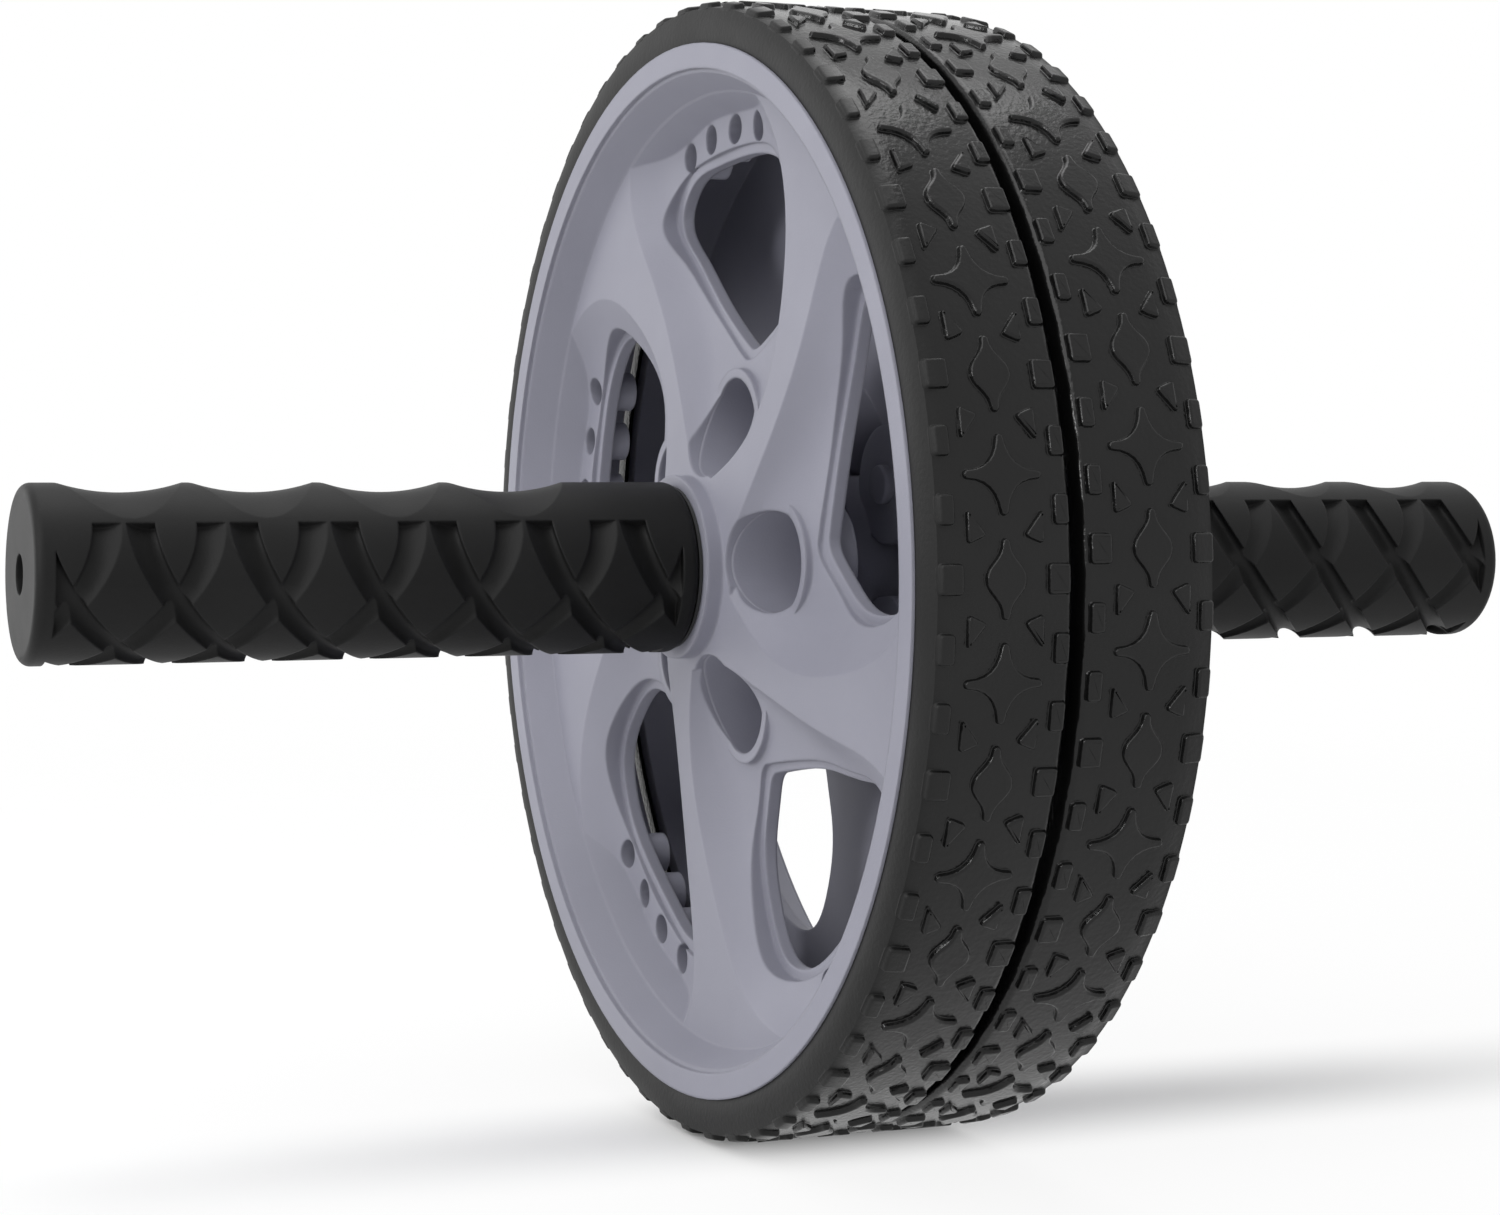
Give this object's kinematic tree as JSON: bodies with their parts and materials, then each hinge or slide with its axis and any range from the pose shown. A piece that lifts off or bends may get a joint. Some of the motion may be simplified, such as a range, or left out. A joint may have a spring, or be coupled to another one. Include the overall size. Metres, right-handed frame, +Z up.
{
  "type": "ab wheel roller",
  "caption": "Exercise roller with twin spoked wheels on rubber tyres turning side by side on one axle, with a contoured rubber grip at each end for both hands.",
  "frame": {"origin": "centre of the axle, midway between the two wheels", "axes": "+Y along the axle from the left grip to the right grip, +Z up, +X across the wheels towards the viewer's side"},
  "size_m": [0.1854, 0.26, 0.1854],
  "materials": {
    "wheel_plastic": "satin moulded grain",
    "tyre_rubber": "semi-gloss moulded rubber",
    "grip_rubber": "satin moulded rubber",
    "core_plastic": "plain moulded",
    "bush_plastic": "plain moulded nylon",
    "axle_steel": "bright drawn tube",
    "spring_steel": "dark spring steel"
  },
  "bodies": {
    "handlebar": {"axle_tube": "axle_steel", "centre_spacer": "bush_plastic", "left_thrust_washer": "core_plastic", "left_retaining_ring": "spring_steel", "left_grip_core": "core_plastic", "left_grip": "grip_rubber", "left_axle_plug": "core_plastic", "right_thrust_washer": "core_plastic", "right_retaining_ring": "spring_steel", "right_grip_core": "core_plastic", "right_grip": "grip_rubber", "right_axle_plug": "core_plastic"},
    "left_wheel_set": {"left_wheel": "wheel_plastic", "left_tyre": "tyre_rubber", "left_inner_bush": "bush_plastic", "left_outer_bush": "bush_plastic"},
    "right_wheel_set": {"right_wheel": "wheel_plastic", "right_tyre": "tyre_rubber", "right_inner_bush": "bush_plastic", "right_outer_bush": "bush_plastic"}
  },
  "joints": [
    {"name": "left_wheel_spin", "type": "hinge", "parent": "handlebar", "child": "left_wheel_set", "pos_m": [0, 0, 0], "axis": [0, 1, 0], "continuous": true},
    {"name": "right_wheel_spin", "type": "hinge", "parent": "handlebar", "child": "right_wheel_set", "pos_m": [0, 0, 0], "axis": [0, 1, 0], "continuous": true}
  ]
}
